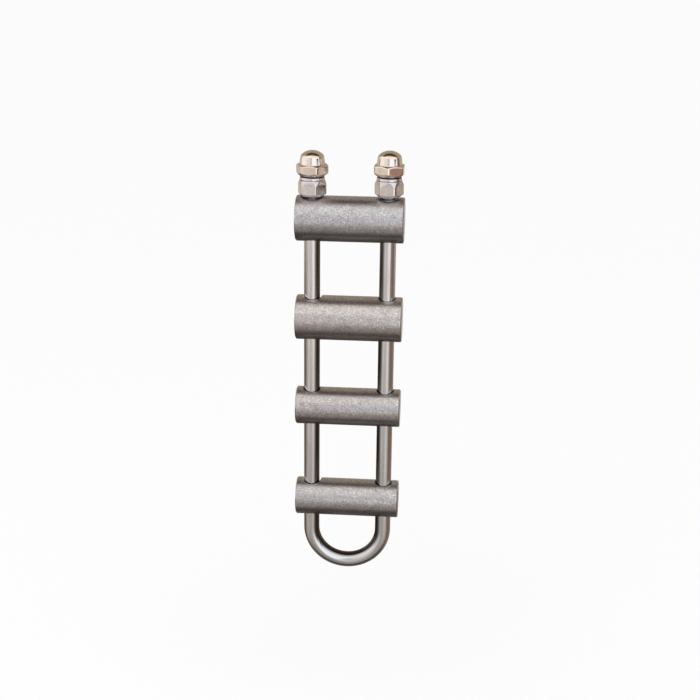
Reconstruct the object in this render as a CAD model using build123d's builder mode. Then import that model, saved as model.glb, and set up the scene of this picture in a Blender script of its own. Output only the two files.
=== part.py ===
from build123d import *
import os
from math import atan, cos, pi, radians, sin, sqrt, tan

# A rack of four brake bars on a U-shaped rod.
# Millimetres. The origin is the centre of the bend, the legs rise along +Z, and -Y is the front.

# Rod and frame
rod_diameter = 7.94
leg_spacing = 37.0
thread_length = 36.0
thread_core_diameter = 6.5
thread_runout = 1.2
rod_end_chamfer = 0.9

# Brake bars
bar_overhang = 7.7
large_bar_diameter = 22.2
small_bar_diameter = 19.05
bar_end_chamfer = 0.5
hole_rim_chamfer = 0.3
hole_clearance = 0.39
slot_clearance = 0.55

# Heights of the bars' axes
lower_swing_bar_height = 17.2
lower_bar_pitch = 50.0
middle_bar_pitch = 46.6
upper_bar_pitch = 50.0
bar_to_nut_gap = 0.3
right_nuts_rise = 0.55

# Lock nuts
lock_nut_across_flats = 12.7
lock_nut_height = 9.5
lock_nut_shoulder_height = 6.7
lock_nut_shoulder_angle = 50
lock_nut_collar_diameter = 12.2
collar_root_radius = 1.5
collar_rim_radius = 0.9
washer_face_diameter = 11.8
washer_face_height = 0.35
lock_ring_outer_diameter = 10.0
lock_ring_height = 2.0
crimped_lip_height = 0.6
nut_mouth_chamfer = 0.7

# Cap nuts
cap_nut_across_flats = 14.29
cap_nut_hex_height = 5.6
cap_nut_height = 12.1
cap_nut_foot_diameter = 12.4
cap_nut_foot_angle = 40
dome_diameter = 12.4
dome_wall_top_diameter = 11.7
dome_crown_radius = 7.6
dome_shoulder_radius = 3.6
cap_thread_depth = 8.6
rod_end_depth = 7.4

# Sizes that the lock nuts and the cap nuts share
hex_chamfer_angle = 30
hex_chamfer_start = 0.95
thread_clearance = 0.05
drill_point_angle = 59
jam_gap = 0.05

# Angle of one corner of each nut from the front towards the right, as tightened
left_lock_nut_turn = 22.5
left_cap_nut_turn = 22.5
right_lock_nut_turn = 26.0
right_cap_nut_turn = -2.0

# Places worked out from the sizes above
leg_x = leg_spacing / 2
bar_length = leg_spacing + 2 * bar_overhang
rod_radius = rod_diameter / 2
core_radius = thread_core_diameter / 2
nut_bore_radius = core_radius + thread_clearance
middle_bar_height = lower_swing_bar_height + lower_bar_pitch
upper_swing_bar_height = middle_bar_height + middle_bar_pitch
top_bar_height = upper_swing_bar_height + upper_bar_pitch
left_lock_seat = top_bar_height + large_bar_diameter / 2 + bar_to_nut_gap
right_lock_seat = left_lock_seat + right_nuts_rise
left_cap_seat = left_lock_seat + lock_nut_height + jam_gap
right_cap_seat = right_lock_seat + lock_nut_height + jam_gap
rod_end_height = left_cap_seat + rod_end_depth
thread_start_height = rod_end_height - thread_length


def leg_axis(x):
    """The upright centre line of the leg at x."""
    return Axis((x, 0, 0), (0, 0, 1))


def side_plane(x, z):
    """An upright plane through a leg: its x runs to the right of the leg and its y runs up."""
    return Plane(origin=(x, 0, z), x_dir=(1, 0, 0), z_dir=(0, -1, 0))


def nut_plane(x, z, turn):
    """A level plane on a leg, its x pointing at one corner of the nut that sits there."""
    corner = (sin(radians(turn)), -cos(radians(turn)), 0)
    return Plane(origin=(x, 0, z), x_dir=corner, z_dir=(0, 0, 1))


def cone_height(inner_radius, outer_radius, angle):
    """How high a cone is between two radii, at an angle from the level."""
    return (outer_radius - inner_radius) * tan(radians(angle))


def brake_bar(diameter, height, left_opening):
    """A bar across both legs. The right leg passes a round hole, the left leg a hole or a slot."""
    radius = diameter / 2
    end_plane = Plane(origin=(-bar_length / 2, 0, height), x_dir=(0, 1, 0), z_dir=(1, 0, 0))
    with BuildPart() as bar:
        with BuildSketch(end_plane):
            Circle(radius)
        extrude(amount=bar_length)
        chamfer(bar.edges().filter_by(GeomType.CIRCLE), length=bar_end_chamfer)
        with BuildSketch(Plane(origin=(leg_x, 0, height))):
            Circle(rod_radius + hole_clearance)
        extrude(amount=radius, both=True, mode=Mode.SUBTRACT)
        if left_opening == "slot":
            # When the bar swings about the right leg, the left leg leaves it along an arc.
            # The slot is straight, and leans inwards by the angle that stays closest to that arc.
            lean = atan((sqrt(2) - 1) * radius / leg_spacing)
            towards_mouth = (sin(lean), cos(lean), 0)
            half_width = rod_radius + slot_clearance
            with BuildSketch(Plane(origin=(-leg_x, 0, height), x_dir=towards_mouth, z_dir=(0, 0, 1))):
                Circle(half_width)
                Rectangle(diameter, 2 * half_width, align=(Align.MIN, Align.CENTER))
            extrude(amount=radius, both=True, mode=Mode.SUBTRACT)
        else:
            with BuildSketch(Plane(origin=(-leg_x, 0, height))):
                Circle(rod_radius + hole_clearance)
            extrude(amount=radius, both=True, mode=Mode.SUBTRACT)
        rims = bar.edges().filter_by(lambda e: e.geom_type not in (GeomType.LINE, GeomType.CIRCLE))
        chamfer(rims, length=hole_rim_chamfer)
    return bar


def lock_nut(x, seat, turn):
    """A hexagon nut turned to a washer face below and a crimped round collar above."""
    flat_radius = lock_nut_across_flats / 2
    corner_radius = flat_radius / cos(pi / 6)
    chamfer_radius = flat_radius * hex_chamfer_start
    collar_radius = lock_nut_collar_diameter / 2
    washer_radius = washer_face_diameter / 2
    chamfer_top = washer_face_height + cone_height(chamfer_radius, corner_radius, hex_chamfer_angle)
    shoulder_cone = cone_height(collar_radius, corner_radius, lock_nut_shoulder_angle)
    with BuildPart() as nut:
        with BuildSketch(nut_plane(x, seat, turn)):
            RegularPolygon(flat_radius, side_count=6, major_radius=False)
        extrude(amount=lock_nut_height)
        with BuildSketch(side_plane(x, seat)) as outline:
            with BuildLine():
                Polyline(
                    (0, 0),
                    (washer_radius, 0),
                    (washer_radius, washer_face_height),
                    (chamfer_radius, washer_face_height),
                    (corner_radius, chamfer_top),
                    (corner_radius, lock_nut_shoulder_height - shoulder_cone),
                    (collar_radius, lock_nut_shoulder_height),
                    (collar_radius, lock_nut_height),
                    (0, lock_nut_height),
                    close=True,
                )
            make_face()
            root = outline.vertices().sort_by_distance((collar_radius, lock_nut_shoulder_height))[0]
            fillet(root, radius=collar_root_radius)
            rim = outline.vertices().sort_by_distance((collar_radius, lock_nut_height))[0]
            fillet(rim, radius=collar_rim_radius)
        revolve(axis=leg_axis(x), mode=Mode.INTERSECT)
        pocket_radius = lock_ring_outer_diameter / 2
        pocket_top = lock_nut_height - crimped_lip_height
        pocket_floor = pocket_top - lock_ring_height
        with BuildSketch(side_plane(x, seat)):
            with BuildLine():
                Polyline(
                    (0, 0),
                    (nut_bore_radius + nut_mouth_chamfer, 0),
                    (nut_bore_radius, nut_mouth_chamfer),
                    (nut_bore_radius, pocket_floor),
                    (pocket_radius, pocket_floor),
                    (pocket_radius, pocket_top),
                    (rod_radius, pocket_top),
                    (rod_radius, lock_nut_height),
                    (0, lock_nut_height),
                    close=True,
                )
            make_face()
        revolve(axis=leg_axis(x), mode=Mode.SUBTRACT)
    return nut


def lock_ring(x, seat):
    """The nylon ring held in the collar, gripping the thread."""
    ring_base = seat + lock_nut_height - crimped_lip_height - lock_ring_height
    with BuildPart() as ring:
        with BuildSketch(Plane(origin=(x, 0, ring_base))):
            Circle(lock_ring_outer_diameter / 2)
            Circle(nut_bore_radius, mode=Mode.SUBTRACT)
        extrude(amount=lock_ring_height)
    return ring


def cap_nut(x, seat, turn):
    """A hexagon nut turned to a dome above, with a blind hole for the end of the rod."""
    flat_radius = cap_nut_across_flats / 2
    corner_radius = flat_radius / cos(pi / 6)
    chamfer_radius = flat_radius * hex_chamfer_start
    foot_radius = cap_nut_foot_diameter / 2
    foot_cone = cone_height(foot_radius, corner_radius, cap_nut_foot_angle)
    chamfer_cone = cone_height(chamfer_radius, corner_radius, hex_chamfer_angle)
    dome_radius = dome_diameter / 2
    wall_top_radius = dome_wall_top_diameter / 2
    crown_centre = cap_nut_height - dome_crown_radius
    wall_top = crown_centre + sqrt(dome_crown_radius**2 - wall_top_radius**2)
    with BuildPart() as nut:
        with BuildSketch(nut_plane(x, seat, turn)):
            RegularPolygon(flat_radius, side_count=6, major_radius=False)
        extrude(amount=cap_nut_height)
        with BuildSketch(side_plane(x, seat)) as outline:
            with BuildLine():
                Polyline(
                    (0, cap_nut_height),
                    (0, 0),
                    (foot_radius, 0),
                    (corner_radius, foot_cone),
                    (corner_radius, cap_nut_hex_height - chamfer_cone),
                    (chamfer_radius, cap_nut_hex_height),
                    (dome_radius, cap_nut_hex_height),
                    (wall_top_radius, wall_top),
                )
                RadiusArc((wall_top_radius, wall_top), (0, cap_nut_height), -dome_crown_radius)
            make_face()
            shoulder = outline.vertices().sort_by_distance((wall_top_radius, wall_top))[0]
            fillet(shoulder, radius=dome_shoulder_radius)
        revolve(axis=leg_axis(x), mode=Mode.INTERSECT)
        point_height = nut_bore_radius / tan(radians(drill_point_angle))
        with BuildSketch(side_plane(x, seat)):
            with BuildLine():
                Polyline(
                    (0, 0),
                    (nut_bore_radius + nut_mouth_chamfer, 0),
                    (nut_bore_radius, nut_mouth_chamfer),
                    (nut_bore_radius, cap_thread_depth),
                    (0, cap_thread_depth + point_height),
                    close=True,
                )
            make_face()
        revolve(axis=leg_axis(x), mode=Mode.SUBTRACT)
    return nut


# The frame: one rod bent to a U, its two ends turned down to the root of their threads
with BuildPart() as u_frame:
    with BuildLine(Plane.XZ):
        Line((-leg_x, thread_start_height), (-leg_x, 0))
        CenterArc((0, 0), leg_x, start_angle=180, arc_size=180)
        Line((leg_x, 0), (leg_x, thread_start_height))
    with BuildSketch(Plane(origin=(-leg_x, 0, thread_start_height), z_dir=(0, 0, -1))):
        Circle(rod_radius)
    sweep()
    for x in (-leg_x, leg_x):
        with BuildSketch(side_plane(x, thread_start_height)):
            with BuildLine():
                Polyline(
                    (0, 0),
                    (rod_radius, 0),
                    (core_radius, thread_runout),
                    (core_radius, thread_length - rod_end_chamfer),
                    (core_radius - rod_end_chamfer, thread_length),
                    (0, thread_length),
                    close=True,
                )
            make_face()
        revolve(axis=leg_axis(x))

# The bars, from the nuts down to the bend
top_bar = brake_bar(large_bar_diameter, top_bar_height, "hole")
upper_swing_bar = brake_bar(large_bar_diameter, upper_swing_bar_height, "slot")
middle_bar = brake_bar(small_bar_diameter, middle_bar_height, "hole")
lower_swing_bar = brake_bar(small_bar_diameter, lower_swing_bar_height, "slot")

# The nuts on the two legs
left_lock_nut = lock_nut(-leg_x, left_lock_seat, left_lock_nut_turn)
right_lock_nut = lock_nut(leg_x, right_lock_seat, right_lock_nut_turn)
left_lock_ring = lock_ring(-leg_x, left_lock_seat)
right_lock_ring = lock_ring(leg_x, right_lock_seat)
left_cap_nut = cap_nut(-leg_x, left_cap_seat, left_cap_nut_turn)
right_cap_nut = cap_nut(leg_x, right_cap_seat, right_cap_nut_turn)

pieces = {
    "u_frame": u_frame,
    "top_bar": top_bar,
    "upper_swing_bar": upper_swing_bar,
    "middle_bar": middle_bar,
    "lower_swing_bar": lower_swing_bar,
    "left_lock_nut": left_lock_nut,
    "right_lock_nut": right_lock_nut,
    "left_lock_ring": left_lock_ring,
    "right_lock_ring": right_lock_ring,
    "left_cap_nut": left_cap_nut,
    "right_cap_nut": right_cap_nut,
}

os.makedirs("parts", exist_ok=True)
for name, piece in pieces.items():
    piece.part.label = name
    export_step(piece.part, f"parts/{name}.step")
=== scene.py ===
# %% [markdown]
# # A four-bar rack, finished around its CAD frame
#
# The rack is a steel rod bent to a U, with four brake bars across its legs and a lock nut and a domed
# cap nut on each leg. The CAD model gives every piece its size and its place. This lesson adds what a
# CAD model leaves out: tumbled aluminium, brushed and polished steel, screw threads and soft edges.
#
# The imported model comes in first, and its box is kept.

# %% Load the frame
import math

import bpy
import numpy as np
from mathutils import Matrix, Vector


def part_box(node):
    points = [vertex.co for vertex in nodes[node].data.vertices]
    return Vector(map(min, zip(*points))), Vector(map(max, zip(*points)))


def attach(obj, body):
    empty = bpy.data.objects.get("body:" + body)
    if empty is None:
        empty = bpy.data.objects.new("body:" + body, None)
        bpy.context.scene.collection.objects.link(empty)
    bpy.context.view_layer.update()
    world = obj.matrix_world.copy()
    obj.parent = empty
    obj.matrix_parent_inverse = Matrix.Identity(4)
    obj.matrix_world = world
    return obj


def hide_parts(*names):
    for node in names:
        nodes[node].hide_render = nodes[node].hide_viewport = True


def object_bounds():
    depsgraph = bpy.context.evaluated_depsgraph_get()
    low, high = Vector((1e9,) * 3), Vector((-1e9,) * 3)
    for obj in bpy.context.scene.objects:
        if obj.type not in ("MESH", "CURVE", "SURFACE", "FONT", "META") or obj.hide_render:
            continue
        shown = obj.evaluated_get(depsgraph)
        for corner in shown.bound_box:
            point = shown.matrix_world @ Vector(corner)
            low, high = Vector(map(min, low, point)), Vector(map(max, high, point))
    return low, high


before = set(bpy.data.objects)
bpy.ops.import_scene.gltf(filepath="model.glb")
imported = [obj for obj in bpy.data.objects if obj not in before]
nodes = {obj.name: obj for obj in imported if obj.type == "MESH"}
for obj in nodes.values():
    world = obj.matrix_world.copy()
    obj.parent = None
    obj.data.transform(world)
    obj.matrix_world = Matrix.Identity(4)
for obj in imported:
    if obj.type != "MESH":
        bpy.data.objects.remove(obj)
frame_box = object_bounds()
MM = 0.001
print("frame box", [[round(value, 4) for value in corner] for corner in frame_box])

# %% [markdown]
# ## The camera
#
# A camera stands well for a picture when its direction, its distance and its lens are all known. They
# could be set by eye, but here they were solved from the bars' ends, the legs and the bend, whose true
# places the CAD model gives. The lens is long and the camera stands to the right and above, so the
# bars show a little of their upper sides and a sliver of their right ends. It is also rolled by about
# half a degree, which is why the bars seem to fall to the right.

# %% Directions
def direction(azimuth, elevation):
    """The unit vector towards an azimuth, from the front (-Y) to the right (+X), and an elevation."""
    level = math.cos(elevation)
    return Vector((math.sin(azimuth) * level, -math.cos(azimuth) * level, math.sin(elevation)))


def facing(back, roll=0.0):
    """The rotation of something that looks against the vector back and is rolled about it."""
    right = Vector((0, 0, 1)).cross(back).normalized()
    up = back.cross(right)
    rolled_right = right * math.cos(roll) + up * math.sin(roll)
    rolled_up = up * math.cos(roll) - right * math.sin(roll)
    return Matrix((rolled_right, rolled_up, back)).transposed().to_4x4()


print("the front is at", tuple(direction(0, 0)))

# %% Set up the camera
PICTURE_WIDTH = 700
SENSOR_WIDTH = 36.0
FOCAL_LENGTH_PIXELS = 1333.2
CAMERA_AZIMUTH = math.radians(4.321)
CAMERA_ELEVATION = math.radians(18.332)
CAMERA_ROLL = math.radians(0.618)
CAMERA_DISTANCE = 665.07 * MM
CAMERA_TARGET = Vector((0.529, 0.0, 97.18)) * MM

camera_data = bpy.data.cameras.new("camera")
camera_data.sensor_width = SENSOR_WIDTH
camera_data.lens = FOCAL_LENGTH_PIXELS * SENSOR_WIDTH / PICTURE_WIDTH
camera = bpy.data.objects.new("camera", camera_data)
bpy.context.scene.collection.objects.link(camera)
camera_back = direction(CAMERA_AZIMUTH, CAMERA_ELEVATION)
camera_place = CAMERA_TARGET + camera_back * CAMERA_DISTANCE
camera.matrix_world = Matrix.Translation(camera_place) @ facing(camera_back, CAMERA_ROLL)
bpy.context.scene.camera = camera
print("lens", round(camera_data.lens, 2), "mm, camera at", [round(value, 4) for value in camera_place])

# %% [markdown]
# ## The studio
#
# The rack hangs in a white room, a little above a pale floor. White light from every side shows colours
# as they are written, and one large lamp lays a soft shadow on the floor. The metal mirrors none of
# these: what it mirrors is painted in the next step, where it can be tuned by itself.

# %% Light the room
ROOM_COLOUR = (0.985, 0.985, 0.985, 1.0)
ROOM_STRENGTH = 1.0

scene = bpy.context.scene
scene.view_settings.view_transform = "Standard"
room = bpy.data.worlds.new("room")
scene.world = room
room.use_nodes = True
room_light = room.node_tree.nodes["Background"]
room_light.inputs["Color"].default_value = ROOM_COLOUR
room_light.inputs["Strength"].default_value = ROOM_STRENGTH
print("room", ROOM_COLOUR[:3])

# %% Lay the floor
FLOOR_SIZE = 60.0
FLOOR_BELOW_RACK = 90 * MM
FLOOR_COLOUR = (0.98, 0.98, 0.98, 1.0)


def plane(name, width, height, material):
    """A flat rectangle in its own x and y, centred on its origin."""
    x, y = width / 2, height / 2
    mesh = bpy.data.meshes.new(name)
    mesh.from_pydata([(-x, -y, 0), (x, -y, 0), (x, y, 0), (-x, y, 0)], [], [(0, 1, 2, 3)])
    mesh.materials.append(material)
    made = bpy.data.objects.new(name, mesh)
    scene.collection.objects.link(made)
    return made


floor_paint = bpy.data.materials.new("floor_paint")
floor_paint.use_nodes = True
floor_shader = floor_paint.node_tree.nodes["Principled BSDF"]
floor_shader.inputs["Base Color"].default_value = FLOOR_COLOUR
floor_shader.inputs["Roughness"].default_value = 1.0
floor_shader.inputs["Specular IOR Level"].default_value = 0.0
floor = plane("floor", FLOOR_SIZE, FLOOR_SIZE, floor_paint)
floor.location = (0, 0, frame_box[0].z - FLOOR_BELOW_RACK)
floor.visible_glossy = False
print("floor", FLOOR_SIZE, "m wide, at height", round(floor.location.z, 4), "m")

# %% Hang the lamp
LAMP_AZIMUTH = math.radians(-18)
LAMP_ELEVATION = math.radians(38)
LAMP_DISTANCE = 1.1
LAMP_WIDTH = 0.8
LAMP_HEIGHT = 0.5
LAMP_POWER = 0.8

rack_centre = (frame_box[0] + frame_box[1]) / 2
lamp_data = bpy.data.lights.new("soft_lamp", "AREA")
lamp_data.shape = "RECTANGLE"
lamp_data.size = LAMP_WIDTH
lamp_data.size_y = LAMP_HEIGHT
lamp_data.energy = LAMP_POWER
lamp = bpy.data.objects.new("soft_lamp", lamp_data)
scene.collection.objects.link(lamp)
lamp.visible_glossy = False
lamp_back = direction(LAMP_AZIMUTH, LAMP_ELEVATION)
lamp.matrix_world = Matrix.Translation(rack_centre + lamp_back * LAMP_DISTANCE) @ facing(lamp_back)
print("lamp", LAMP_POWER, "W, at", [round(value, 3) for value in lamp.matrix_world.translation])

# %% [markdown]
# ## What the metal mirrors
#
# Metal has hardly any colour of its own and shows what stands round it. In a room that is white on all
# sides it would look like flat paper, so a photographer sets white screens and dark cards round it. Two
# dozen cards would be slow to set up and to tune, so here one large ball round the rack carries them
# all as patches of colour with soft edges. Only mirrored light meets the ball. It lights nothing that
# is matte, casts no shadow, and the camera doesn't see it.
#
# A patch is laid in one of two ways. One goes round the rack: it spans azimuths and elevations. The
# other goes over it, from the front (0) up over the top (90) to the back (180), or down (-90), and
# spans an angle to the left and right of that arc. All angles are in degrees.

# %% Soft edges
def smooth(value, low, high):
    """0 below low, 1 above high, and 3s2 - 2s3 between, where s is the share of the way."""
    share = np.clip((value - low) / (high - low), 0, 1)
    return share * share * (3 - 2 * share)


def span(value, low, high, edge):
    """1 from low to high, fading to 0 over an edge that lies half inside and half outside."""
    half = edge / 2
    return smooth(value, low - half, low + half) * (1 - smooth(value, high - half, high + half))


print("span 10 to 20, edge 4, at 9, 10, 15:", span(np.array([9, 10, 15]), 10, 20, 4))

# %% Choose the surroundings
WALL_COLOUR = (0.34, 0.28, 0.23)
PATCHES = {
    # name: way, first span's ends and soft edge, second span's ends and soft edge, colour
    "front_screen": ("round", -66, 52, 30, -70, 78, 30, (0.66, 0.625, 0.605)),
    "low_screen": ("round", -62, 52, 34, -70, -21, 8, (0.43, 0.405, 0.39)),
    "left_screen": ("round", -52, -28, 22, -23, -4, 10, (0.74, 0.69, 0.67)),
    "right_screen": ("round", 14, 38, 14, -23, -4, 10, (0.95, 0.91, 0.90)),
    "low_right_screen": ("round", 14, 36, 14, -45, -22, 8, (0.64, 0.60, 0.59)),
    "dark_wall_left": ("round", -179, -96, 16, -50, -13.5, 4, (0.13, 0.085, 0.06)),
    "tan_wall_right": ("round", 60, 120, 12, -60, 20, 16, (0.22, 0.16, 0.13)),
    "narrow_wall_right": ("round", 43, 60, 5, -19, -2, 6, (0.34, 0.20, 0.17)),
    "pale_wall_right": ("round", 104.5, 160, 3, -16, 30, 4, (0.50, 0.44, 0.37)),
    "left_wall": ("round", -176, -112, 8, -14, 30, 4, (0.60, 0.54, 0.48)),
    "left_edge_light": ("round", -104, -28, 8, -12.5, 4, 3, (0.76, 0.74, 0.70)),
    "right_edge_light": ("round", 2, 39, 5, -14.5, 4, 3, (1.25, 1.22, 1.20)),
    "window": ("round", -108, 73, 16, -4, 50, 6, (1.04, 1.07, 1.12)),
    "window_left": ("round", -46, 30, 30, -4, 32, 8, (0.89, 0.87, 0.89)),
    "window_post": ("round", -13, 1, 6, -4, 28, 8, (0.62, 0.60, 0.61)),
    "window_right": ("round", 3, 73, 6, -4, 50, 6, (1.10, 1.20, 1.37)),
    "lamp_screen": ("over", 31, 83, 9, -64, 54, 14, (1.10, 1.08, 1.07)),
    "lamp_stand": ("round", 46, 64, 4, 3.5, 13, 2, (0.0, 0.0, 0.0)),
    "dark_ceiling": ("over", 96, 116, 12, -28, 34, 16, (0.02, 0.015, 0.012)),
    "back_wall": ("over", 126, 176, 16, -40, 40, 20, (0.40, 0.35, 0.29)),
    "low_front": ("over", -54, -34, 20, -26, 26, 16, (0.33, 0.30, 0.29)),
    "dark_ground": ("over", -104, -58, 14, -40, 40, 20, (0.08, 0.068, 0.06)),
    "brown_ground": ("over", -146, -108, 14, -30, 30, 20, (0.17, 0.14, 0.12)),
    "back_door": ("over", -177, -155, 6, -16, 16, 6, (0.90, 0.88, 0.85)),
}
print(len(PATCHES), "patches")

# %% Paint the ball
BALL_RADIUS = 5.0
BALL_STEP = 1


def painted_ball():
    """A ball whose corners carry the patches' colours, each laid over the ones before it."""
    azimuths = np.arange(-180, 180, BALL_STEP)
    elevations = np.arange(-90 + BALL_STEP, 90, BALL_STEP)
    azimuth, elevation = np.meshgrid(azimuths, elevations, indexing="ij")
    level = np.cos(np.radians(elevation))
    x = np.sin(np.radians(azimuth)) * level
    y = -np.cos(np.radians(azimuth)) * level
    z = np.sin(np.radians(elevation))
    over = np.degrees(np.arctan2(z, -y))
    aside = np.degrees(np.arcsin(x))
    colours = np.broadcast_to(WALL_COLOUR, (*x.shape, 3)).copy()
    for way, low_1, high_1, edge_1, low_2, high_2, edge_2, colour in PATCHES.values():
        first, second = (azimuth, elevation) if way == "round" else (over, aside)
        share = (span(first, low_1, high_1, edge_1) * span(second, low_2, high_2, edge_2))[..., None]
        colours = colours * (1 - share) + np.array(colour) * share
    rows, columns = x.shape
    numbers = np.arange(rows * columns).reshape(rows, columns)
    beside = np.roll(numbers, -1, axis=0)
    quads = np.stack([numbers[:, :-1], beside[:, :-1], beside[:, 1:], numbers[:, 1:]], axis=-1)
    bottom = np.stack([np.full(rows, rows * columns), beside[:, 0], numbers[:, 0]], axis=-1)
    top = np.stack([np.full(rows, rows * columns + 1), numbers[:, -1], beside[:, -1]], axis=-1)
    points = np.concatenate([np.stack([x, y, z], axis=-1).reshape(-1, 3), [(0, 0, -1), (0, 0, 1)]])
    paints = np.concatenate([colours.reshape(-1, 3), colours[:, [0, -1]].mean(axis=0)])
    mesh = bpy.data.meshes.new("surroundings")
    faces = quads.reshape(-1, 4).tolist() + bottom.tolist() + top.tolist()
    mesh.from_pydata((points * BALL_RADIUS).tolist(), [], faces)
    paint = mesh.color_attributes.new("paint", "FLOAT_COLOR", "POINT")
    paint.data.foreach_set("color", np.column_stack([paints, np.ones(len(paints))]).ravel())
    return mesh


ball_mesh = painted_ball()
print("ball", len(ball_mesh.polygons), "faces")

# %% Hang the ball round the rack
glow_paint = bpy.data.materials.new("surroundings_paint")
glow_paint.use_nodes = True
glow_paint.cycles.emission_sampling = "NONE"
glow_tree = glow_paint.node_tree
glow_tree.nodes.remove(glow_tree.nodes["Principled BSDF"])
glow = glow_tree.nodes.new("ShaderNodeEmission")
paint_reader = glow_tree.nodes.new("ShaderNodeAttribute")
paint_reader.attribute_name = "paint"
glow_tree.links.new(paint_reader.outputs["Color"], glow.inputs["Color"])
glow_tree.links.new(glow.outputs[0], glow_tree.nodes["Material Output"].inputs["Surface"])

surroundings = bpy.data.objects.new("surroundings", ball_mesh)
surroundings.data.materials.append(glow_paint)
surroundings.location = rack_centre
scene.collection.objects.link(surroundings)
surroundings.visible_camera = False
surroundings.visible_diffuse = False
surroundings.visible_shadow = False
surroundings.visible_transmission = False
print("surroundings round", [round(value, 3) for value in rack_centre])

# %% [markdown]
# ## A helper for finishes
#
# A finish is a small web of nodes. Written out in full, each node takes several lines to make and to
# connect, so this helper does it in one: a number is set on the node's input, and another node's
# output is linked to it. Patterns are laid out in millimetres, because then a scale says how many
# grains there are in a millimetre.

# %% The finish helper
class Finish:
    """A metal or plastic finish being put together around one Principled shader."""

    def __init__(self, name, **facts):
        self.material = bpy.data.materials.new(name)
        self.material.use_nodes = True
        self.tree = self.material.node_tree
        self.shader = self.tree.nodes["Principled BSDF"]
        for socket, value in facts.items():
            self.feed(self.shader.inputs[socket.replace("_", " ")], value)
        place = self.add("TexCoord").outputs["Object"]
        self.place = self.add("VectorMath", {0: place, "Scale": 1 / MM}, operation="SCALE").outputs[0]

    def feed(self, socket, value):
        """Links an output to a socket, or sets a number or colour on it."""
        if isinstance(value, bpy.types.NodeSocket):
            self.tree.links.new(value, socket)
        else:
            socket.default_value = value

    def add(self, kind, feeds=None, **settings):
        """A shader node with its settings, fed by input names or numbers."""
        node = self.tree.nodes.new("ShaderNode" + kind)
        for key, value in settings.items():
            setattr(node, key, value)
        for key, value in (feeds or {}).items():
            self.feed(node.inputs[key], value)
        return node

    def axes(self):
        """The place's x, y and z, one by one."""
        return self.add("SeparateXYZ", {0: self.place}).outputs

    def calc(self, operation, a, b=0.0, c=0.0):
        """One step of arithmetic on one, two or three values."""
        return self.add("Math", {0: a, 1: b, 2: c}, operation=operation).outputs[0]

    def noise(self, scale, detail=2.0, roughness=0.5, place=None):
        """Soft random clouds, with that many in a millimetre."""
        where = self.place if place is None else place
        feeds = {"Vector": where, "Scale": scale, "Detail": detail, "Roughness": roughness}
        return self.add("TexNoise", feeds).outputs["Fac"]

    def spread(self, value, low, high, to_low=0.0, to_high=1.0):
        """A value graded smoothly from one span to another, and held at its ends."""
        feeds = {"Value": value, 1: low, 2: high, 3: to_low, 4: to_high}
        return self.add("MapRange", feeds, interpolation_type="SMOOTHSTEP").outputs["Result"]

    def scaled(self, place, x, y, z):
        """A place with its three axes scaled."""
        return self.add("VectorMath", {0: place, 1: (x, y, z)}, operation="MULTIPLY").outputs[0]

    def stretched(self, x, y, z, turn=(0, 0, 0)):
        """The object's place with its three axes scaled, after a turn in degrees."""
        angles = [math.radians(angle) for angle in turn]
        turned = self.add("Mapping", {"Vector": self.place, "Rotation": angles}).outputs[0]
        return self.scaled(turned, x, y, z)

    def blend(self, share, a, b, blend_type="MIX"):
        """Two colours mixed by a share.

        The node has a set of sockets for each kind of value: 6 and 7 take colours, and 2 gives one.
        """
        feeds = {0: share, 6: a, 7: b}
        return self.add("Mix", feeds, data_type="RGBA", blend_type=blend_type).outputs[2]

    def bump(self, height, distance):
        """A surface raised by a height from 0 to 1, over that distance in metres."""
        return self.add("Bump", {"Height": height, "Distance": distance}).outputs[0]

    def set(self, socket, value):
        """Feeds one of the shader's own inputs."""
        self.feed(self.shader.inputs[socket], value)


# %% [markdown]
# ## Tumbled aluminium for the bars
#
# Brake bars are sawn, drilled and then tumbled in a drum of stones, which leaves a matte skin of
# grains about half a millimetre wide, with soft grey clouds and a few bright nicks. The skin could be
# modelled, but grains this small read as colour, roughness and a shallow bump. Each bar has its own
# tone, as bars cut from different stock do. The undersides are darkened with painted shade, which is
# mixed in by how far a point lies below the bar's axis. It stops short of the sawn ends.

# %% Painted shade on the underside
UNDERSIDE_SHADE_UNEVENNESS = 0.25
# Where the painted shade starts: shares of the bar's radius below its axis, and millimetres from an end
UNDERSIDE_SHADE_DROP_SPAN = (0.44, 0.66)
UNDERSIDE_SHADE_END_SPAN = (0.1, 0.5)


def underside_painted_shade(skin, node, axis, mottle, underside_shade_share):
    """The share of painted shade: none above and at the ends, more below, with an uneven edge."""
    low, high = np.array(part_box(node)) / MM
    x, y, z = skin.axes()
    drop = skin.calc("DIVIDE", skin.calc("SUBTRACT", axis, z), (high[2] - low[2]) / 2)
    uneven = skin.calc("MULTIPLY_ADD", skin.calc("SUBTRACT", mottle, 0.5), UNDERSIDE_SHADE_UNEVENNESS, drop)
    from_left, from_right = skin.calc("SUBTRACT", x, low[0]), skin.calc("SUBTRACT", high[0], x)
    from_end = skin.calc("MINIMUM", from_left, from_right)
    below = skin.spread(uneven, *UNDERSIDE_SHADE_DROP_SPAN)
    return skin.calc("MULTIPLY", below, skin.spread(from_end, *UNDERSIDE_SHADE_END_SPAN, 0.0, underside_shade_share))


# %% Tumbled aluminium
BAR_DARK = (0.32, 0.315, 0.31)
BAR_LIGHT = (0.80, 0.79, 0.78)
BAR_ROUGHNESS = (0.34, 0.27)
BAR_BUMP = 0.03 * MM
# Each cloud: how many in a millimetre, detail, roughness
GRAIN = (1.5, 4.0, 0.75)
GRAIN_STRETCH = (0.85, 1.1, 1.1)
GRAIN_SHARE = 0.8
BAR_CLOUD = (0.3, 3.0, 0.6)
# Most values of a cloud lie between these two
CLOUD_SPAN = (0.3, 0.7)

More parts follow.
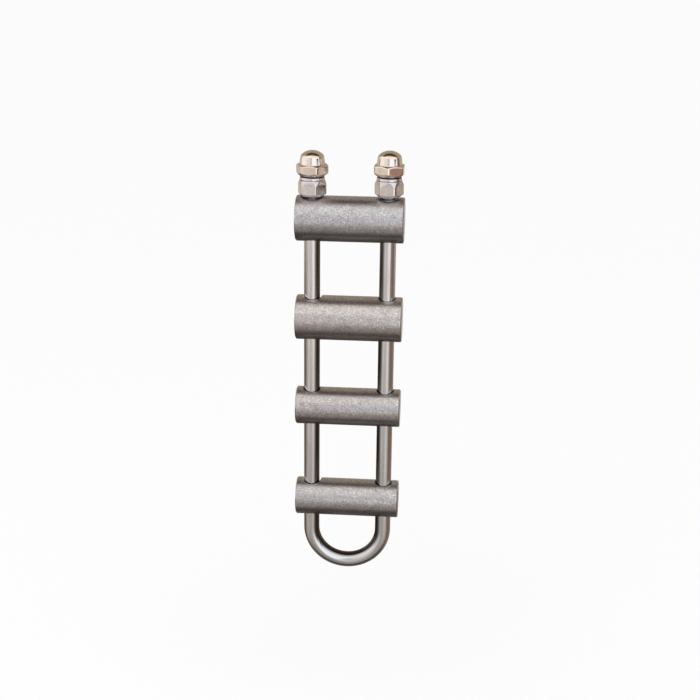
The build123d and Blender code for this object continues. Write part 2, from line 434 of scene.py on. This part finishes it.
NICK = (1.0, 1.0, 0.5)
NICK_STRETCH = (0.45, 1.9, 1.9)
NICK_TURNS = ((0, 20, 0), (0, 75, 0), (0, 130, 15))
NICK_SPAN = (0.705, 0.765)
NICK_COLOUR = (1.0, 0.98, 0.96, 1.0)
NICK_HEIGHT = 0.3
PIT = (1.3, 1.0, 0.4)
PIT_SPAN = (0.27, 0.22)
PIT_SHARE = 0.6
PIT_COLOUR = (0.20, 0.195, 0.185, 1.0)

# Painted shade: the dark colour mixed into each bar's underside
UNDERSIDE_SHADE_COLOUR = (0.07, 0.07, 0.07, 1.0)


def tumbled_aluminium(name, node, axis, tint, underside_shade_share):
    """Grains, clouds, nicks and pits over grey aluminium, with painted shade on the underside."""
    skin = Finish(name, Metallic=1.0)
    grain = skin.noise(*GRAIN, skin.stretched(*GRAIN_STRETCH))
    cloud = skin.calc("MULTIPLY", skin.noise(*BAR_CLOUD), 1 - GRAIN_SHARE)
    mottle = skin.calc("MULTIPLY_ADD", grain, GRAIN_SHARE, cloud)
    dark, light = [(*(np.array(colour) * tint), 1.0) for colour in (BAR_DARK, BAR_LIGHT)]
    colour = skin.blend(skin.spread(mottle, *CLOUD_SPAN), dark, light)
    nicks = 0.0
    for turn in NICK_TURNS:
        streak = skin.noise(*NICK, skin.stretched(*NICK_STRETCH, turn))
        nicks = skin.calc("MAXIMUM", nicks, skin.spread(streak, *NICK_SPAN))
    colour = skin.blend(nicks, colour, NICK_COLOUR)
    pits = skin.spread(skin.noise(*PIT), *PIT_SPAN)
    colour = skin.blend(skin.calc("MULTIPLY", pits, PIT_SHARE), colour, PIT_COLOUR)
    # Painted shade darkens the underside
    painted_shade = underside_painted_shade(skin, node, axis, mottle, underside_shade_share)
    skin.set("Base Color", skin.blend(painted_shade, colour, UNDERSIDE_SHADE_COLOUR))
    skin.set("Roughness", skin.spread(mottle, *CLOUD_SPAN, *BAR_ROUGHNESS))
    raised = skin.calc("ADD", grain, skin.calc("MULTIPLY", nicks, NICK_HEIGHT))
    skin.set("Normal", skin.bump(skin.calc("SUBTRACT", raised, pits), BAR_BUMP))
    return skin.material


# %% A skin for each bar
BAR_STOCK = {
    # bar: height of its axis, tint, share of painted shade on the underside
    "top_bar": (163.8, (0.96, 0.945, 0.965), 0.6),
    "upper_swing_bar": (113.8, (1.04, 0.975, 0.95), 0.6),
    "middle_bar": (67.2, (0.975, 0.92, 0.905), 0.6),
    "lower_swing_bar": (17.2, (0.95, 0.92, 0.905), 0.1),
}

for bar_name, (axis, tint, underside_shade_share) in BAR_STOCK.items():
    bar_skin = tumbled_aluminium(bar_name + "_skin", bar_name, axis, tint, underside_shade_share)
    nodes[bar_name].material_slots[0].material = bar_skin
    print(bar_skin.name, len(bar_skin.node_tree.nodes), "nodes")

# %% [markdown]
# ## Brushed steel for the frame
#
# The rod is stainless steel, brushed along its length before it is bent, so its streaks follow it
# round the bend. A streak is a cloud stretched along the rod. To stretch it round a bend, the pattern
# needs the rod's own directions: how far a point lies outside the rod's centre line, and how far along
# the rod it is. On the legs these are x and z, and on the bend they are the radius and the arc.
#
# The side that faces into the U is darkened with painted shade, a dark reflection painted into its
# colour. Its edge comes further out low on both legs and high on the right leg, and draws back in
# the bend.

# %% Directions along the rod
LEG_X = 18.5
# Sets the two legs so far apart in the pattern that they don't show the same streaks
LEG_SHIFT = 300.0


def length(finish, a, b):
    """The length of a line that goes a one way and b across it: the root of the sum of the squares."""
    squares = finish.calc("ADD", finish.calc("POWER", a, 2.0), finish.calc("POWER", b, 2.0))
    return finish.calc("SQRT", squares)


def along_the_rod(finish):
    """How far outside the rod's centre line a point lies, and how far along the rod, in millimetres."""
    x, y, z = finish.axes()
    side = finish.calc("ABSOLUTE", x)
    below = finish.calc("MINIMUM", z, 0.0)
    outside = finish.calc("SUBTRACT", length(finish, side, below), LEG_X)
    arc = finish.calc("MULTIPLY", finish.calc("ARCTAN2", below, side), LEG_X)
    along = finish.calc("ADD", finish.calc("MAXIMUM", z, 0.0), arc)
    return outside, y, finish.calc("MULTIPLY_ADD", finish.calc("SIGN", x), LEG_SHIFT, along)


# %% The painted shade on the inner side
# The soft edge of the painted shade, from none to dark, in millimetres outside the rod's centre line
INNER_SHADE_EDGE = (-1.5, -2.9)
# How dark it is on the legs and in the bend, and the heights between which that changes
INNER_SHADE_SHARE = (0.9, 0.97)
INNER_SHADE_HEIGHTS = (0.0, -10.0)
# Spans of height, or of x, and how far the edge moves over them
LOW_LEG_HEIGHTS, LOW_LEG_SHIFT = (110.0, 8.0), 0.55
BEND_HEIGHTS, BEND_SHIFT = (0.0, -17.0), 1.3
HIGH_LEG_HEIGHTS, HIGH_LEG_SHIFT = (60.0, 110.0), 0.55
RIGHT_LEG_SPAN = (-5.0, 15.0)


def inner_painted_shade(skin, outside):
    """The share of painted shade on the rod's inner side."""
    x, y, z = skin.axes()
    low = skin.spread(z, *LOW_LEG_HEIGHTS, 0.0, LOW_LEG_SHIFT)
    bend = skin.spread(z, *BEND_HEIGHTS, 0.0, BEND_SHIFT)
    high = skin.spread(z, *HIGH_LEG_HEIGHTS, 0.0, HIGH_LEG_SHIFT)
    on_right = skin.spread(x, *RIGHT_LEG_SPAN)
    shift = skin.calc("MULTIPLY_ADD", on_right, high, skin.calc("SUBTRACT", low, bend))
    inner = skin.spread(skin.calc("SUBTRACT", outside, shift), *INNER_SHADE_EDGE)
    return skin.calc("MULTIPLY", inner, skin.spread(z, *INNER_SHADE_HEIGHTS, *INNER_SHADE_SHARE))


# %% Brushed steel
STEEL_DARK = (0.63, 0.61, 0.60, 1.0)
STEEL_LIGHT = (0.79, 0.775, 0.765, 1.0)
STEEL_ROUGHNESS = (0.22, 0.16)
STEEL_BUMP = 0.006 * MM
STREAK = (1.0, 3.0, 0.6)
STREAK_STRETCH = (4.0, 4.0, 0.12)
STREAK_SHARE = 0.6
SWEEP = (1.0, 2.0, 0.5)
SWEEP_STRETCH = (0.9, 0.9, 0.05)
# The painted shade on the inner side
INNER_SHADE_COLOUR = (0.06, 0.05, 0.045, 1.0)


def brushed_steel(name):
    """Fine streaks along the rod, over warm grey steel, with painted shade on the inner side."""
    skin = Finish(name, Metallic=1.0)
    outside, y, along = along_the_rod(skin)
    rod_place = skin.add("CombineXYZ", {0: outside, 1: y, 2: along}).outputs[0]
    fine = skin.scaled(rod_place, *STREAK_STRETCH)
    broad = skin.scaled(rod_place, *SWEEP_STRETCH)
    streak = skin.noise(*STREAK, fine)
    sweep = skin.calc("MULTIPLY", skin.noise(*SWEEP, broad), 1 - STREAK_SHARE)
    tone = skin.calc("MULTIPLY_ADD", streak, STREAK_SHARE, sweep)
    colour = skin.blend(skin.spread(tone, *CLOUD_SPAN), STEEL_DARK, STEEL_LIGHT)
    # Painted shade darkens the side that faces into the U
    skin.set("Base Color", skin.blend(inner_painted_shade(skin, outside), colour, INNER_SHADE_COLOUR))
    skin.set("Roughness", skin.spread(tone, *CLOUD_SPAN, *STEEL_ROUGHNESS))
    skin.set("Normal", skin.bump(streak, STEEL_BUMP))
    return skin.material


frame_skin = brushed_steel("frame_skin")
nodes["u_frame"].material_slots[0].material = frame_skin
print(frame_skin.name, len(frame_skin.node_tree.nodes), "nodes")

# %% [markdown]
# ## Polished steel for the nuts
#
# The lock nuts and the domed cap nuts are bought parts of polished stainless steel. A mirror finish
# is never perfect: it has faint clouds and fine scratches from the spanner. The cap nuts come from
# another maker's batch and are warmer in colour. A lock nut's collar is crimped over its ring after
# polishing, so it is a shade darker. Where a cap nut meets its lock nut, a painted shadow fills the
# seam, so the finish turns black and rougher near that height.

# %% Polished steel
POLISH_ROUGHNESS = (0.16, 0.09)
SCRATCH_BUMP = 0.001 * MM
SCRATCH = (1.0, 2.0, 0.6)
SCRATCH_STRETCH = (0.5, 6.0, 6.0)
SCRATCH_TURN = (0, 0, 35)
SCRATCH_SHARE = 0.4
POLISH_CLOUD = (0.6, 4.0, 0.6)

LEFT_SEAM_HEIGHT = 184.7
RIGHT_SEAM_RISE = 0.55
# Painted shadow in the seam where a cap nut meets its lock nut
SEAM_SHADOW_COLOUR = (0.035, 0.03, 0.03, 1.0)
SEAM_SHADOW_ROUGHNESS = 0.4
SEAM_SHADOW_UNEVENNESS = 0.3
COLLAR_SHADE = (0.90, 0.89, 0.91, 1.0)
# Millimetres above the seam
COLLAR_START = (-4.5, -3.7)


def polished_steel(name, colours, seam_shadow, collar=0.0):
    """Warm mirror steel with clouds and scratches, and a black painted shadow near the seam."""
    skin = Finish(name, Metallic=1.0)
    cloud = skin.noise(*POLISH_CLOUD)
    scratch = skin.noise(*SCRATCH, skin.stretched(*SCRATCH_STRETCH, SCRATCH_TURN))
    faint = skin.calc("MULTIPLY", cloud, 1 - SCRATCH_SHARE)
    tone = skin.calc("MULTIPLY_ADD", scratch, SCRATCH_SHARE, faint)
    x, y, z = skin.axes()
    rise = skin.calc("MULTIPLY", skin.calc("GREATER_THAN", x, 0.0), RIGHT_SEAM_RISE)
    above = skin.calc("SUBTRACT", skin.calc("SUBTRACT", z, LEFT_SEAM_HEIGHT), rise)
    uneven = skin.calc("MULTIPLY_ADD", skin.calc("SUBTRACT", cloud, 0.5), SEAM_SHADOW_UNEVENNESS, above)
    # Painted shadow in the seam, black and rougher
    painted_shadow = skin.spread(uneven, *seam_shadow)
    unshaded = skin.blend(skin.spread(tone, *CLOUD_SPAN), *colours)
    crimped = skin.spread(above, *COLLAR_START, 0.0, collar)
    unshaded = skin.blend(crimped, unshaded, COLLAR_SHADE, "MULTIPLY")
    skin.set("Base Color", skin.blend(painted_shadow, unshaded, SEAM_SHADOW_COLOUR))
    shine = skin.spread(tone, *CLOUD_SPAN, *POLISH_ROUGHNESS)
    skin.set("Roughness", skin.calc("MULTIPLY_ADD", painted_shadow, SEAM_SHADOW_ROUGHNESS, shine))
    skin.set("Normal", skin.bump(scratch, SCRATCH_BUMP))
    return skin.material


# %% A skin for each kind of nut
# Darkest and lightest colour of each
LOCK_NUT_COLOURS = ((0.71, 0.65, 0.63, 1.0), (0.85, 0.79, 0.765, 1.0))
CAP_NUT_COLOURS = ((0.80, 0.69, 0.575, 1.0), (0.94, 0.83, 0.725, 1.0))
# The painted shadow, from none to black, in millimetres above the seam
LOCK_SEAM_SHADOW = (-0.75, -0.5)
CAP_SEAM_SHADOW = (0.25, 0.05)

lock_nut_skin = polished_steel("lock_nut_skin", LOCK_NUT_COLOURS, LOCK_SEAM_SHADOW, collar=1.0)
cap_nut_skin = polished_steel("cap_nut_skin", CAP_NUT_COLOURS, CAP_SEAM_SHADOW)
for nut_skin in (lock_nut_skin, cap_nut_skin):
    print(nut_skin.name, len(nut_skin.node_tree.nodes), "nodes")

# %% [markdown]
# ## A way to turn shapes round a leg
#
# Nuts and threads are turned shapes: an outline carried once round the leg. Blender's Spin or Screw
# would do that, but an outline worked out with numpy can also change on its way round, which a hexagon
# and a thread both need. So a shape here is two grids, one of radii and one of heights, and each of
# their rows is the outline at one angle. An outline either closes on itself like a ring, or starts and
# ends on the axis.

# %% The turned surface
def turned(name, leg_x, radii, heights, looped):
    """A closed surface round a leg, in millimetres.

    The point in row i and column j stands at angle i round the leg, counted from the front to the
    right, radii[i, j] from the axis and heights[i, j] up. On the outside the columns run upwards.
    """
    angles = np.linspace(0, 2 * np.pi, len(radii), endpoint=False)[:, None]
    points = np.stack([leg_x + radii * np.sin(angles), -radii * np.cos(angles), heights], axis=-1)
    grid = points if looped else points[:, 1:-1]
    rows, columns = grid.shape[:2]
    numbers = np.arange(rows * columns).reshape(rows, columns)
    beside = np.roll(numbers, -1, axis=0)
    next_up = [np.roll(beside, -1, axis=1), np.roll(numbers, -1, axis=1)]
    quads = np.stack([numbers, beside, *next_up], axis=-1)
    places = grid.reshape(-1, 3)
    if looped:
        faces = quads.reshape(-1, 4).tolist()
    else:
        first = np.full(rows, rows * columns)
        starts = np.stack([first, beside[:, 0], numbers[:, 0]], axis=-1)
        ends = np.stack([first + 1, numbers[:, -1], beside[:, -1]], axis=-1)
        faces = quads[:, :-1].reshape(-1, 4).tolist() + starts.tolist() + ends.tolist()
        places = np.concatenate([places, points[0, [0, -1]]])
    mesh = bpy.data.meshes.new(name)
    mesh.from_pydata((places * MM).tolist(), [], faces)
    mesh.shade_smooth()
    made = bpy.data.objects.new(name, mesh)
    scene.collection.objects.link(made)
    print(name, len(faces), "faces")
    return made


# %% [markdown]
# ## The nuts, with softened edges
#
# The CAD nuts have sharp edges, and a sharp edge mirrors nothing. On a real nut every edge is rounded
# by the tumbling before it is polished, and that thin rounding draws a bright line round each face. A
# Bevel modifier could round them, but it stumbles over the arcs where the hexagon meets the turned
# cones. Here each nut is a turned outline cut by a hexagon, and the cut is a soft one: instead of the
# smaller of two radii it takes their power mean with a large negative power, which is nearly the
# smaller one and passes smoothly from one to the other.

# %% The soft cut
# The power in the soft cut: the larger, the sharper the edge
SOFTNESS = 34
ANGLES_ROUND_A_NUT = 360
# Keeps radii and cosines above nought, so that their negative powers stay finite
SMALL = 1e-3


def soft_smaller(first, second):
    """Nearly the smaller of two lengths: the sum of their -n powers, raised to -1/n."""
    return (first ** -SOFTNESS + second ** -SOFTNESS) ** (-1 / SOFTNESS)


def hexagon(across_flats, turn):
    """The radius of a hexagon with soft corners, at each angle round the leg.

    A flat at distance d that faces an angle t has radius d / cos(angle - t); the six are softly cut.
    The turn is the angle of one corner, and the flats face 30 degrees from the corners.
    """
    angles = np.linspace(0, 2 * np.pi, ANGLES_ROUND_A_NUT, endpoint=False)[:, None]
    facing_angles = np.radians(turn + 30 + 60 * np.arange(6))[None, :]
    nearness = np.maximum(np.cos(angles - facing_angles), SMALL) ** SOFTNESS
    return across_flats / 2 * nearness.sum(axis=1, keepdims=True) ** (-1 / SOFTNESS)


print("the soft smaller of 5 and 5.2 is", round(soft_smaller(5.0, 5.2), 3))

# %% Outlines with rounded corners
OUTLINE_STEP = 0.14
CORNER_POINTS = 9
# Keeps lengths above nought, so that they can be divided by
TINY = 1e-9


def outline(corners):
    """Points at even steps along a line of corners, each given as radius, height and rounding.

    Near a corner the line runs from a to b on a curve through the weighted mean of three points:
    (1 - u)^2 of a, 2u(1 - u) of the corner and u^2 of b, as u goes from 0 to 1.
    """
    places, rounding = np.array(corners)[:, :2], np.array(corners)[:, 2:]
    before = np.vstack([places[:1], places[:-1]]) - places
    after = np.vstack([places[1:], places[-1:]]) - places
    a = places + before / np.maximum(np.linalg.norm(before, axis=1, keepdims=True), TINY) * rounding
    b = places + after / np.maximum(np.linalg.norm(after, axis=1, keepdims=True), TINY) * rounding
    u = np.linspace(0, 1, CORNER_POINTS)[None, :, None]
    line = (1 - u) ** 2 * a[:, None] + 2 * u * (1 - u) * places[:, None] + u ** 2 * b[:, None]
    line = line.reshape(-1, 2)
    run = np.concatenate([[0], np.cumsum(np.linalg.norm(np.diff(line, axis=0), axis=1))])
    even = np.linspace(0, run[-1], int(run[-1] / OUTLINE_STEP))
    return np.interp(even, run, line[:, 0]), np.interp(even, run, line[:, 1])


# %% A soft nut in place of a CAD nut
def soft_nut(node, leg_x, across_flats, turn, radii, heights, skin, looped):
    """A turned outline cut by a hexagon where it stands outside it, in place of a CAD nut."""
    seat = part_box(node)[0][2] / MM
    cut = soft_smaller(np.maximum(radii, SMALL)[None, :], hexagon(across_flats, turn))
    cut[:, radii == 0] = 0
    lifted = np.broadcast_to(heights + seat, cut.shape)
    nut = turned(node + "_rounded", leg_x, cut, lifted, looped)
    nut.data.materials.append(skin)
    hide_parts(node)
    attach(nut, "frame")
    return nut


# %% [markdown]
# ## The lock nuts
#
# A lock nut's outline is, from the bottom: a washer face, a chamfer up to the corners, the hexagon, a
# steep cone that cuts the flats in arches, a fine groove, and a round collar, crimped over the nylon
# ring. The pocket for the ring and the bore close the outline on the inside.

# %% Lock nuts
LOCK_ACROSS_FLATS = 12.7
LOCK_OUTLINE = (
    # radius, height, rounding
    (4.02, 0.6, 0.0), (4.5, 0.0, 0.1), (5.85, 0.0, 0.15), (5.85, 0.35, 0.0), (6.0, 0.35, 0.1),
    (7.30, 1.12, 0.2), (7.30, 5.38, 0.3), (6.2, 7.35, 0.3), (6.0, 7.5, 0.05), (6.15, 7.7, 0.1),
    (6.1, 9.5, 1.6), (4.02, 9.5, 0.1), (4.02, 8.95, 0.0), (5.05, 8.95, 0.0), (5.05, 6.85, 0.0),
    (4.02, 6.85, 0.0),
)
# nut: its leg, and the angle of one corner from the front towards the right, as tightened
LOCK_TURNS = {"left_lock_nut": (-LEG_X, 19.5), "right_lock_nut": (LEG_X, 25.0)}

lock_radii, lock_heights = outline(LOCK_OUTLINE)
for nut_name, (leg_x, turn) in LOCK_TURNS.items():
    soft_nut(nut_name, leg_x, LOCK_ACROSS_FLATS, turn, lock_radii, lock_heights, lock_nut_skin,
             looped=True)

# %% [markdown]
# ## The cap nuts
#
# A cap nut starts on a cone that just clears the lock nut's collar, widens to its hexagon and closes in
# a dome over the end of the thread. The dome is a slightly tapered wall softly cut by a sphere, the
# same soft cut as between the hexagon and the cones. Its outline starts at the tip of the drilled hole
# and ends at the crown, both on the axis.

# %% Cap nuts
CAP_ACROSS_FLATS = 14.29
CAP_LOWER_OUTLINE = (
    # radius, height, rounding
    (0.0, 10.5, 0.0), (3.3, 8.6, 0.1), (3.3, 0.7, 0.1), (4.0, 0.0, 0.1), (6.2, 0.0, 0.2),
    (8.2, 1.72, 0.3), (8.2, 4.76, 0.3), (6.75, 5.6, 0.15), (6.2, 5.6, 0.12),
)
CROWN_RADIUS = 7.6
CROWN_CENTRE = 4.5
WALL_RADIUS = 6.3375
WALL_TAPER = 0.125
# The dome's points, by their angle from straight up as seen from the crown's centre
DOME_START = 79.5
DOME_POINTS = 90
CAP_TURNS = {"left_cap_nut": (-LEG_X, 21.0), "right_cap_nut": (LEG_X, -4.0)}

lower_radii, lower_heights = outline(CAP_LOWER_OUTLINE)
lean = np.radians(np.linspace(DOME_START, 0, DOME_POINTS))
to_wall = WALL_RADIUS / (np.sin(lean) + WALL_TAPER * np.cos(lean))
reach = soft_smaller(to_wall, np.full_like(to_wall, CROWN_RADIUS))
dome_radii = reach * np.sin(lean)
dome_heights = CROWN_CENTRE + reach * np.cos(lean)
cap_radii = np.concatenate([lower_radii, dome_radii[1:]])
cap_heights = np.concatenate([lower_heights, dome_heights[1:]])
for nut_name, (leg_x, turn) in CAP_TURNS.items():
    soft_nut(nut_name, leg_x, CAP_ACROSS_FLATS, turn, cap_radii, cap_heights, cap_nut_skin,
             looped=False)

# %% [markdown]
# ## The threads
#
# Under each nut the rod carries a rolled 5/16 in thread with 18 turns to the inch. It can be seen when
# the top bar slides down. The Screw modifier would sweep a tooth along a helix, but then the run-out
# into the plain rod needs work by hand. As a turned surface, the thread is one formula: the radius
# falls and rises with height once in each pitch, and that wave is shifted by one pitch on its way
# round. At the lower end the groove grows shallow until it meets the rod.

# %% Threads
THREAD_PITCH = 25.4 / 18
THREAD_CREST = 3.96
THREAD_ROOT = 3.27
THREAD_SHARP_CREST = 4.12
THREAD_SHARP_DEPTH = 1.22
THREAD_START = 156.15
THREAD_RUNOUT = 2.2
THREAD_INTO_NUT = 1.5
THREAD_HIDDEN_RADIUS = 3.2
ANGLES_ROUND_A_THREAD = 96
THREAD_STEP = 0.09


def thread(name, leg_x, lock_node, skin):
    """A thread round a leg, from the plain rod up into its lock nut.

    With w the distance from the nearest crest in half pitches, from 0 to 1, the radius is the sharp
    crest less w times the sharp depth, kept between the root and the crest.
    """
    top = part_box(lock_node)[0][2] / MM + THREAD_INTO_NUT
    up = np.arange(THREAD_START, top, THREAD_STEP)[None, :]
    turns = np.linspace(0, 1, ANGLES_ROUND_A_THREAD, endpoint=False)[:, None]
    wave = np.abs(((up - THREAD_START) / THREAD_PITCH - turns) % 1 - 0.5) * 2
    shallow = 1 - smooth(up, THREAD_START, THREAD_START + THREAD_RUNOUT)
    root = THREAD_ROOT + (THREAD_CREST - THREAD_ROOT) * shallow
    outer = np.clip(THREAD_SHARP_CREST - THREAD_SHARP_DEPTH * wave, root, THREAD_CREST)
    ends = np.full((len(turns), 2), THREAD_HIDDEN_RADIUS)
    radii = np.hstack([outer, ends])
    heights = np.broadcast_to(np.hstack([up, [[top, THREAD_START]]]), radii.shape)
    made = turned(name, leg_x, radii, heights, looped=True)
    made.data.materials.append(skin)
    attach(made, "frame")
    return made


print("thread pitch", round(THREAD_PITCH, 3), "mm, depth", round(THREAD_CREST - THREAD_ROOT, 2), "mm")

# %% [markdown]
# ## The finish of the threads
#
# The nuts rub a thread's crests bright, and its grooves keep a film of old oil. A picture of stripes
# could show that, but it would have to follow the helix. Instead the finish asks how far a point lies
# from the leg's axis, and a little noise makes the edge of the film uneven.

# %% Bright crests, dull grooves
THREAD_BRIGHT = (0.74, 0.72, 0.70, 1.0)
THREAD_GROOVE = (0.26, 0.24, 0.22, 1.0)
THREAD_ROUGHNESS = (0.42, 0.22)
THREAD_CLOUD = (1.5, 3.0, 0.6)
THREAD_UNEVENNESS = 0.3
THREAD_WEAR = (THREAD_ROOT + 0.15, THREAD_CREST)


def rolled_steel(name):
    """Bright crests over dull grooves, by the distance from the leg's axis."""
    skin = Finish(name, Metallic=1.0)
    outside, y, along = along_the_rod(skin)
    off_axis = length(skin, outside, y)
    worn = skin.calc("MULTIPLY_ADD", skin.noise(*THREAD_CLOUD), THREAD_UNEVENNESS, off_axis)
    skin.set("Base Color", skin.blend(skin.spread(worn, *THREAD_WEAR), THREAD_GROOVE, THREAD_BRIGHT))
    skin.set("Roughness", skin.spread(worn, *THREAD_WEAR, *THREAD_ROUGHNESS))
    return skin.material


thread_skin = rolled_steel("thread_skin")
thread("left_thread", -LEG_X, "left_lock_nut", thread_skin)
thread("right_thread", LEG_X, "right_lock_nut", thread_skin)

# %% [markdown]
# ## Nylon for the lock rings
#
# A ring of white nylon sits in each lock nut's collar and grips the thread. It hardly shows, so a plain
# plastic with soft clouds is enough, and there is no need to let light pass through it.

# %% Nylon
NYLON_DARK = (0.72, 0.71, 0.66, 1.0)
NYLON_LIGHT = (0.86, 0.86, 0.82, 1.0)
NYLON_ROUGHNESS = 0.45
NYLON_CLOUD = (1.2, 2.0)
NYLON_SPAN = (0.35, 0.65)
NYLON_BUMP = 0.01 * MM


def nylon(name):
    """Off-white nylon with soft clouds."""
    skin = Finish(name, Roughness=NYLON_ROUGHNESS)
    cloud = skin.noise(*NYLON_CLOUD)
    skin.set("Base Color", skin.blend(skin.spread(cloud, *NYLON_SPAN), NYLON_DARK, NYLON_LIGHT))
    skin.set("Normal", skin.bump(cloud, NYLON_BUMP))
    return skin.material


ring_skin = nylon("ring_skin")
for ring_name in ("left_lock_ring", "right_lock_ring"):
    nodes[ring_name].material_slots[0].material = ring_skin
print(ring_skin.name, len(ring_skin.node_tree.nodes), "nodes")
